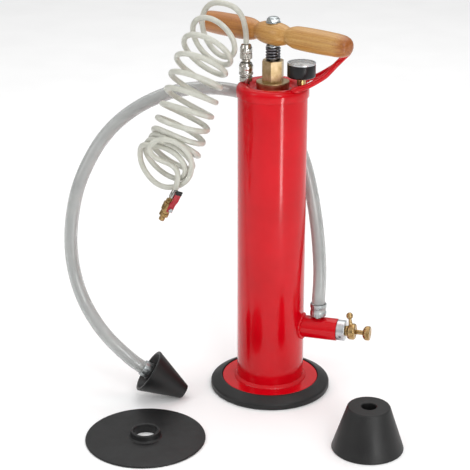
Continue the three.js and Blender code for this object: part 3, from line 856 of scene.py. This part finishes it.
def build_stub():
    pipe = [(14.2, 46.2), (16.85, 46.2), (16.85, 104.7), (14.2, 104.7)]
    stub = turned(pipe, 0.7, 72, ALONG_STUB)
    piece("side_stub", stub, ENAMEL, "pump_body", "red_painted_steel", "side_stub_pipe")
    # The bead follows the saddle where the stub meets the cylinder, in 30 overlapping drops
    count = 300
    ring, swell = [], []
    for k in range(count):
        a = 2 * math.pi * k / count
        y, z = 17.4 * math.cos(a), 17.4 * math.sin(a)
        ring.append(((math.sqrt(CYLINDER_R**2 - y * y) + 0.4) * MM, y * MM, STUB.z + z * MM))
        swell.append(1 + 0.1 * math.sin(30 * a) + 0.05 * math.sin(7 * a + 1))
    bead = round_bar(ring, 0.0028, sides=16, closed=True, swell=swell)
    piece("stub_weld", bead, ENAMEL, "pump_body", "red_painted_steel", "stub_weld_bead", crease=60)


def build_bail():
    leg = [(39, 30, 480.6), (42.5, 30.6, 481.6), (49, 31, 483.4), (57, 31, 486.4), (65, 31, 490.8)]
    leg += [(73.4, 31, 496.3), (83.2, 30.8, 503.3), (90.2, 30.2, 510.8), (97, 28, 518.8), (103, 22.5, 525.2)]
    leg += [(107, 13.5, 529.2), (108.6, 4.5, 530.4)]
    bar = leg + [(x, -y, z) for x, y, z in reversed(leg)]
    line = smooth_line([tuple(c * MM for c in point) for point in bar], 6)
    bm = round_bar(line, 0.004, sides=20)
    # a blob of weld where each leg meets the cap
    for side in (-1, 1):
        blob = bmesh.new()
        at = Matrix.Translation((0.0405, 0.0302 * side, 0.4795)) @ Matrix.Diagonal((1.5, 1.2, 0.75, 1))
        bmesh.ops.create_uvsphere(blob, u_segments=32, v_segments=16, radius=0.0049, matrix=at)
        bm = joined(bm, blob)
    piece("bent_bail", bm, ENAMEL, "pump_body", "red_painted_steel", "carry_bail", crease=60)


# Gland, rod, spring and handle


def build_gland():
    flange = [(6.3, 452), (17.1, 452), (17.1, 473.6), (24, 473.6), (24, 483.5), (6.3, 483.5)]
    hexagon = hexagonal(28.5, 483.4, 514, 9.9, place=Matrix.Rotation(math.radians(5), 4, "Z"), both=False)
    lip = turned([(9.95, 483.2), (13.3, 483.2), (13.3, 484.6), (9.95, 484.6)], 0.3)
    bm = joined(turned(flange, 1.1), hexagon, lip)
    piece("gland_nut", bm, GLAND_BRASS, "pump_body", "brass", "gland_body", crease=28)
    seal = [(6.35, 506.3), (9.7, 506.3), (9.7, 513.4), (8.4, 514.2), (7.2, 513.2), (6.35, 511.8)]
    piece("wiper_seal", turned(seal, 0.4, 64), RUBBER, "pump_body", "black_rubber", "rod_wiper_seal")
    gasket = [(17.6, 472.3), (23.4, 472.3), (23.4, 473.3), (17.6, 473.3)]
    piece("gland_washer", turned(gasket, 0.3), RUBBER, "pump_body", "black_rubber", "gland_gasket")
    # Bumper spring with closed end turns
    turns, coil_r, low, tall = 4.6, 9.2, 515.9, 16.4
    steps = turns * 36
    line = []
    for k in range(int(steps) + 1):
        rise = np.interp(k / steps, (0, 0.16, 0.84, 1), (0, 0.1, 0.9, 1))
        a = 2 * math.pi * turns * k / steps
        line.append((coil_r * MM * math.cos(a), coil_r * MM * math.sin(a), (low + tall * rise) * MM))
    spring = round_bar(line, 0.0016, sides=12)
    piece("stop_spring", spring, SPRING_STEEL, "pump_body", "plated_steel", "bumper_spring", crease=60)


def build_handle():
    shaft = [(0, 57.6), (4.7, 57.6), (4.7, 86.3), (ROD_R, 86.3), (ROD_R, 566.6), (5.2, 567.4), (5.2, 573), (0, 573)]
    piece("pump_rod", turned(shaft, 0.3, 48), CHROME, "rod_and_handle", "plated_steel", "piston_rod")
    # half of the handle's outline, from its middle to its end: (radius, distance)
    boss = [(16.8, 0), (16.6, 9), (15.2, 17.5), (12.9, 24.5), (11.7, 27.6)]
    grip = [(11.7, 28.2), (13.1, 32), (15.0, 38), (16.3, 46), (16.9, 70), (16.5, 104), (15.6, 122)]
    grip += [(13.6, 130.5), (10, 135.2), (4.4, 137)]
    fine = [tuple(p) for p in np.vstack([smooth_line(boss, 6), smooth_line(grip, 6)])]
    line = [(0, -137)] + [(r, -s) for r, s in reversed(fine[1:])] + fine + [(0, 137)]
    centre = Matrix.Translation((0, 0, HANDLE_Z))
    lathe = centre @ Matrix.Rotation(HANDLE_TURN, 4, "Z") @ Matrix.Rotation(math.pi / 2, 4, "Y")
    bm = turned(line, 0.01, 96, lathe)
    hole = turned([(0, -30), (6.3, -30), (6.3, 30), (0, 30)], 0.01, 48, centre)
    seat = turned([(0, 15), (11.5, 15), (11.5, 30), (0, 30)], 0.01, 48, centre)
    bm = bored(bm, hole, seat)
    piece("beech_handle", bm, BEECH, "rod_and_handle", "varnished_beech", "wooden_handle", crease=40)
    z = HANDLE_Z / MM
    low = [(6.3, z - 18.2), (10, z - 18.2), (10, z - 16.9), (6.3, z - 16.9)]
    piece("lower_washer", turned(low, 0.3), ZINC, "rod_and_handle", "plated_steel", "handle_lower_washer")
    high = [(6.3, z + 15.3), (10.6, z + 15.3), (10.6, z + 16.5), (6.3, z + 16.5)]
    piece("upper_washer", turned(high, 0.3), ZINC, "rod_and_handle", "plated_steel", "handle_upper_washer")
    nut = hexagonal(17, z + 16.8, z + 21.4, 5.3)
    dome = [(5.3, z + 20.8), (8.3, z + 20.8), (7.6, z + 22.8), (5.2, z + 24), (2.2, z + 24.5), (0, z + 24.6)]
    dome += [(0, z + 21.2), (5.3, z + 21.2)]
    bm = joined(nut, turned(dome, 1.0, 64))
    piece("cap_nut", bm, ZINC, "rod_and_handle", "plated_steel", "handle_dome_nut", crease=28)


# Gauge


def build_gauge():
    at = upright(GAUGE)
    stem = [(2, 462), (5, 462), (5, 480.6), (6.4, 481.2), (6.4, 491.6), (2, 491.6)]
    piece("gauge_shank", turned(stem, 0.4, 48, at), BRASS, "pump_body", "brass", "gauge_stem")
    shell = [(0, 491.9), (18.6, 491.9), (20.4, 493.6), (20.4, 510.6), (19, 510.6), (19, 494.4), (0, 494.4)]
    case = fluted(turned(shell, 0.6, 288, at), 48, 0.4, 495, 510, 20.0, at)
    piece("gauge_can", case, ABS, "pump_body", "black_plastic", "gauge_case", crease=40)
    ring = [(19.2, 510.9), (20.6, 510.9), (20.6, 513.1), (20, 513.6), (18.2, 513.6), (18.2, 512.9), (19.2, 512.9)]
    piece("gauge_rim", turned(ring, 0.4, 96, at), ALUMINIUM, "pump_body", "plated_steel", "gauge_bezel")
    pane = [(0, 510.9), (18.9, 510.9), (18.9, 512.6), (0, 512.6)]
    piece("gauge_window", turned(pane, 0.2, 96, at), WINDOW, "pump_body", "gauge_glass", "gauge_lens")
    face = [(0, 507.6), (18.7, 507.6), (18.7, 508.2), (0, 508.2)]
    piece("gauge_face", turned(face, 0.1, 96, at), DIAL, "pump_body", "dial_white", "gauge_dial")
    # plain marks over 270 degrees, each fifth one long
    marks = bmesh.new()
    start, gap, outer, level = 135, 9, 16.6, 0.50828
    for k in range(270 // gap + 1):
        inner, wide = (14, 0.4) if k % 5 == 0 else (15.4, 0.2)
        spot = Matrix.Rotation(math.radians(start - gap * k), 4, "Z")
        spot = spot @ Matrix.Translation(((inner + outer) / 2 * MM, 0, 0))
        shape = Matrix.Diagonal(((outer - inner) * MM, wide * MM, 0.1 * MM, 1))
        bmesh.ops.create_cube(marks, size=1, matrix=at @ Matrix.Translation((0, 0, level)) @ spot @ shape)
    piece("dial_marks", marks, ABS, "pump_body", "black_plastic")
    needle = bmesh.new()
    point = Matrix.Translation((5.2 * MM, 0, 0)) @ Matrix.Diagonal((17.6 * MM, 1.2 * MM, 0.5 * MM, 1))
    turn = at @ Matrix.Translation((0, 0, 0.5092)) @ Matrix.Rotation(math.radians(start), 4, "Z")
    bmesh.ops.create_cube(needle, size=1, matrix=point)
    # the needle narrows toward its tip
    for v in needle.verts:
        if v.co.x > 0.01:
            v.co.y *= 0.25
    bmesh.ops.transform(needle, matrix=turn, verts=needle.verts)
    hub = turned([(0, 508.5), (2.1, 508.5), (2.1, 509.9), (0, 509.9)], 0.4, 48, at)
    piece("needle", joined(needle, hub), ABS, "gauge_needle", "black_plastic", "gauge_pointer")


# Quick coupler


def build_coupler():
    at = upright(COUPLER)
    body = [(3, 460), (6, 460), (6, 480.2), (9.4, 480.6), (9.4, 487), (7.2, 487.2), (7.2, 505), (6.8, 506.4)]
    body += [(6.2, 506.4), (6.2, 490), (3, 490)]
    piece("coupler_socket", turned(body, 0.5, 64, at), NICKEL, "pump_body", "plated_steel", "coupler_body")
    sleeve = [(9.2, 490.4), (10.3, 490.4), (10.3, 493), (9.8, 494), (9.8, 498), (10.3, 499), (10.3, 503)]
    sleeve += [(8.4, 507.6), (7.5, 507.6), (7.5, 499.4), (9.2, 499.4)]
    bm = fluted(turned(sleeve, 0.6, 240, at), 40, 0.3, 490.8, 493.2, 10.0, at)
    piece("coupler_ring", bm, NICKEL, "coupler_sleeve", "plated_steel", "coupler_sleeve", crease=40)
    plug = [(2.5, 490.6), (5.8, 490.6), (5.8, 509), (6.6, 509.6), (6.6, 512.6), (5.6, 513), (5.6, 528), (2.5, 528)]
    piece("coupler_nipple", turned(plug, 0.4, 64, at), NICKEL, "pump_body", "plated_steel", "coupler_plug")
    nut = [(6, 513.6), (8.9, 513.6), (8.9, 521), (8.2, 522), (8.9, 523), (8.9, 529), (7, 534), (4.3, 534)]
    nut += [(4.3, 530), (6, 530)]
    bm = fluted(turned(nut, 0.5, 240, at), 24, 0.5, 514, 528.5, 8.4, at)
    piece("coupler_nut", bm, NICKEL, "pump_body", "plated_steel", "coupler_tube_nut", crease=40)


# End plug and release valve on the stub


def build_release_valve():
    at = ALONG_STUB
    plug = [(7.2, 92), (13.9, 92), (13.9, 105), (15.7, 105), (15.7, 116.8), (14.9, 117.6), (5.3, 117.6), (5.3, 106)]
    plug += [(7.2, 106)]
    tilt = Matrix.Translation((0.1115, 0, STUB.z)) @ Matrix.Rotation(math.pi / 2 + math.radians(17), 4, "X")
    hole = turned([(0, 9), (2, 9), (2, 18), (0, 18)], 0.01, 32, tilt)
    bm = bored(turned(plug, 0.7, 72, at), hole)
    piece("stub_plug", bm, ALUMINIUM, "pump_body", "aluminium", "stub_end_plug", crease=35)
    body = [(3.8, 106.3), (5, 106.3), (5, 117.9), (7.9, 117.9), (7.9, 120.8), (6, 121.1), (6, 132.7), (3.8, 132.7)]
    piece("release_seat", turned(body, 0.4, 64, at), BRASS, "pump_body", "brass", "release_valve_body")
    hub = [(6.3, 121.4), (10.6, 121.4), (12.4, 123.6), (12.4, 130.8), (10.6, 133), (6.3, 133)]
    stand = Matrix.Translation((0.1264, 0, STUB.z)) @ Matrix.Rotation(math.radians(-8), 4, "Y")
    arm = turned([(0, 10), (3.5, 10), (3.1, 12.5), (2.1, 21.6), (0, 21.6)], 0.4, 48, stand)
    ball = bmesh.new()
    knob = stand @ Matrix.Translation((0, 0, 0.0254))
    bmesh.ops.create_uvsphere(ball, u_segments=40, v_segments=24, radius=0.0052, matrix=knob)
    bm = joined(turned(hub, 1.4, 96, at), arm, ball)
    piece("release_arm", bm, BRASS, "release_lever", "brass", "release_valve_lever", crease=40)
    stem = [(0, 96), (3.5, 96), (3.5, 144.4), (6.5, 144.4), (9.6, 146.6), (10.9, 149), (10.9, 153.8), (9.7, 155.2)]
    stem += [(4.2, 155.2), (3.6, 154.8), (0, 154.8)]
    bm = fluted(turned(stem, 0.7, 192, at), 32, 0.35, 149.2, 153.6, 10.6, at)
    piece("release_knob", bm, BRASS, "release_plunger", "brass", "release_valve_stem", crease=40)


# Barb, clamp and cone


def build_hose_ends():
    at = Matrix.Translation((BARB.x, BARB.y, STUB.z))
    barb = [(4, 11.6), (5.2, 11.6), (5.2, 17.6), (7.6, 17.6), (7.6, 20.6), (6.6, 21), (7.0, 24), (6.6, 24.4)]
    barb += [(7.0, 31), (6.6, 31.4), (7.0, 39), (6.4, 40), (4, 40)]
    piece("hose_tail", turned(barb, 0.3, 64, at), NICKEL, "pump_body", "plated_steel", "hose_barb")
    band = [(10.3, 21), (12, 21), (12.4, 22.4), (12.4, 27), (11.6, 28), (11.6, 33), (12.4, 34), (12.4, 38.6)]
    band += [(12, 40), (10.3, 40)]
    bm = fluted(turned(band, 0.5, 240, at), 20, 0.3, 22, 39, 11.2, at)
    piece("crimp_ferrule", bm, ZINC, "pump_body", "plated_steel", "hose_clamp", crease=40)
    mouth, way = cone_axis()
    lie = Matrix.Translation(mouth) @ Vector((0, 0, 1)).rotation_difference(way).to_matrix().to_4x4()
    shell = [(6.3, 65.3), (6.3, 26), (10.5, 26), (10.5, 1), (13.6, 1), (13.6, 24), (20.4, 24), (29.4, 0), (33, 0)]
    shell += [(33.8, 1.2), (11.3, 64.2), (10.5, 65.3)]
    cone = piece("rubber_cone", turned(shell, 1.0, 96, lie), RUBBER, "pump_body", "black_rubber", "suction_cone")
    ring = [(10.5, -10), (12.2, -10), (12.2, 0.6), (10.5, 0.6)]
    bm = turned(ring, 0.5, 96, lie)
    collar = piece("cone_collar", bm, ZINC, "pump_body", "plated_steel", "cone_hose_collar")
    return cone, collar


# Small ball valve and nozzle


def build_mini_valve():
    # the valve hangs from the tube's end, head up
    up = Vector((21, 5.6, 46)).normalized()
    lean = Vector((0, 0, 1)).rotation_difference(up).to_matrix().to_4x4()
    at = Matrix.Translation((-0.118, -0.0934, 0.337)) @ lean @ Matrix.Rotation(math.radians(-50), 4, "Z")
    out = at @ Matrix.Translation((0, 0, -0.028)) @ Matrix.Rotation(math.pi / 2, 4, "Y")
    nut = [(2.2, -12.8), (5, -12.8), (5, -6), (4.3, -0.3), (2.2, -0.3)]
    bm = fluted(turned(nut, 0.4, 144, at), 18, 0.3, -12.4, -6.4, 4.7, at)
    sheath = piece("tube_sheath", bm, NICKEL, "pump_body", "plated_steel", "mini_valve_tube_nut", crease=40)
    body = [(2.2, -13.1), (4, -13.1), (4, -16.6), (5.6, -16.9), (5.6, -21.4), (7.9, -22.4), (7.9, -33.4)]
    body += [(6.6, -34.6), (6.6, -38), (5.3, -38), (5.3, -22.6), (2.2, -22.6)]
    boss = turned([(1.9, 5.4), (3.6, 5.4), (3.6, 9.3), (1.9, 9.3)], 0.3, 40, out)
    hexagon = hexagonal(12.4, -21, -17, 4.2, place=at)
    bm = joined(turned(body, 0.6, 72, at), boss, hexagon)
    case = piece("ball_valve_body", bm, BRASS, "pump_body", "brass", "mini_valve_body", crease=30)
    stem = [(0, 5.2), (1.5, 5.2), (1.5, 11.9), (0, 11.9)]
    bm = joined(turned(stem, 0.2, 32, out), hexagonal(5.6, 11.9, 14, 0.4, place=out))
    pin = piece("ball_valve_spindle", bm, ZINC, "mini_valve_handle", "plated_steel", "mini_valve_stem", crease=30)
    # the lever is a cranked strip, 9 mm wide and 2 mm thick
    wide, thick = 9 * MM, 2 * MM
    line = rounded([(10.7, -32), (10.7, -18.8), (13.6, -12.6), (13.6, 4)], 2.5, False)
    bm = bmesh.new()
    dots = [bm.verts.new((x * MM, -wide / 2, z * MM)) for x, z in line]
    edges = [bm.edges.new(pair) for pair in zip(dots, dots[1:])]
    drawn = bmesh.ops.extrude_edge_only(bm, edges=edges)["geom"]
    bmesh.ops.translate(bm, vec=(0, wide, 0), verts=[g for g in drawn if isinstance(g, bmesh.types.BMVert)])
    bmesh.ops.recalc_face_normals(bm, faces=bm.faces)
    bmesh.ops.translate(bm, vec=(thick / 2, 0, 0), verts=bm.verts)
    bm.faces.ensure_lookup_table()
    if bm.faces[0].normal.x < 0:
        bmesh.ops.reverse_faces(bm, faces=bm.faces)
    bmesh.ops.solidify(bm, geom=bm.faces, thickness=thick)
    bmesh.ops.recalc_face_normals(bm, faces=bm.faces)
    rim = [e for e in bm.edges if e.is_manifold and e.calc_face_angle(0) > math.radians(50)]
    soften = {"affect": "EDGES", "segments": 3, "profile": 0.5, "material": -1, "clamp_overlap": True}
    bmesh.ops.bevel(bm, geom=rim, offset=0.0006, **soften)
    bmesh.ops.transform(bm, matrix=at, verts=bm.verts)
    coat = "lever_red_coating"
    blade = piece("ball_valve_lever", bm, VINYL, "mini_valve_handle", coat, "mini_valve_lever", crease=50)
    tip = bmesh.new()
    shape = Matrix.Translation((13.6 * MM, 0, 1.2 * MM)) @ Matrix.Diagonal((2.8 * MM, 9.6 * MM, 6.4 * MM, 1))
    bmesh.ops.create_cube(tip, size=1, matrix=at @ shape)
    bmesh.ops.bevel(tip, geom=tip.edges[:], offset=0.0008, **soften)
    cover = piece("lever_tip_cover", tip, RUBBER, "mini_valve_handle", "black_rubber", crease=50)
    nozzle = [(2, -38.3), (6.8, -38.3), (6.8, -43), (4.3, -44.6), (4.3, -49.6), (3.6, -51), (2, -51)]
    spigot = [(2, -33.4), (5, -33.4), (5, -38.5), (2, -38.5)]
    bm = joined(fluted(turned(nozzle, 0.5, 144, at), 24, 0.3, -42.8, -38.5, 6.4, at), turned(spigot, 0.2, 48, at))
    jet = piece("blow_nozzle", bm, BRASS, "pump_body", "brass", "air_nozzle", crease=40)
    return [sheath, case, pin, blade, cover, jet]


# Loose sealing adaptors


def build_adaptors():
    disc = [(17, 0), (86, 0), (86.6, 0.9), (86, 3), (24.4, 4.2), (22, 6), (21.2, 12.8), (20.4, 13.7)]
    disc += [(17.9, 13.7), (17, 12.8)]
    bm = turned(disc, 0.9, 144, upright(DISC))
    piece("flat_adaptor", bm, RUBBER, "sealing_disc", "black_rubber", "sealing_disc")
    cone = [(10.5, 0), (50.8, 0), (51.4, 1), (50.6, 3.4), (30.8, 63.6), (29.4, 65.3), (11.5, 65.3), (10.5, 64.1)]
    bm = turned(cone, 1.2, 144, upright(FRUSTUM))
    piece("cone_adaptor", bm, RUBBER, "sealing_frustum", "black_rubber", "sealing_frustum")


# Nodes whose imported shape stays, each with its own finish


KEPT_NODES = [
    (CHROME, "pump_barrel", "mini_valve_ball"),
    (ALUMINIUM, "barrel_foot", "piston_head"),
    (RUBBER, "foot_valve_disc", "piston_cup_seal", "release_valve_pad"),
    (SPRING_STEEL, "foot_valve_spring", "coupler_spring", "release_valve_spring", "end_plug_grub_screw"),
    (BRASS, "foot_valve_cage", "gauge_movement"),
    (ZINC, "piston_nut", "piston_washer"),
]


def finish_kept_nodes():
    for finish, *names in KEPT_NODES:
        for name in names:
            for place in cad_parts[name].material_slots:
                place.material = finish


# Floor


def build_floor():
    bm = bmesh.new()
    bmesh.ops.create_grid(bm, x_segments=1, y_segments=1, size=6, matrix=Matrix.Translation((0, 0, -0.0003)))
    mesh = bpy.data.meshes.new("floor")
    bm.to_mesh(mesh)
    bm.free()
    mesh.materials.append(studio_paper())
    floor = bpy.data.objects.new("floor", mesh)
    scene.collection.objects.link(floor)


set_camera()
set_light()
hose, hose_run = lay_hose()
tube, tube_run = lay_air_tube()
build_base()
build_reservoir()
build_stub()
build_bail()
build_gland()
build_handle()
build_gauge()
build_coupler()
build_release_valve()
cone, collar = build_hose_ends()
valve = build_mini_valve()
build_adaptors()
finish_kept_nodes()
build_floor()
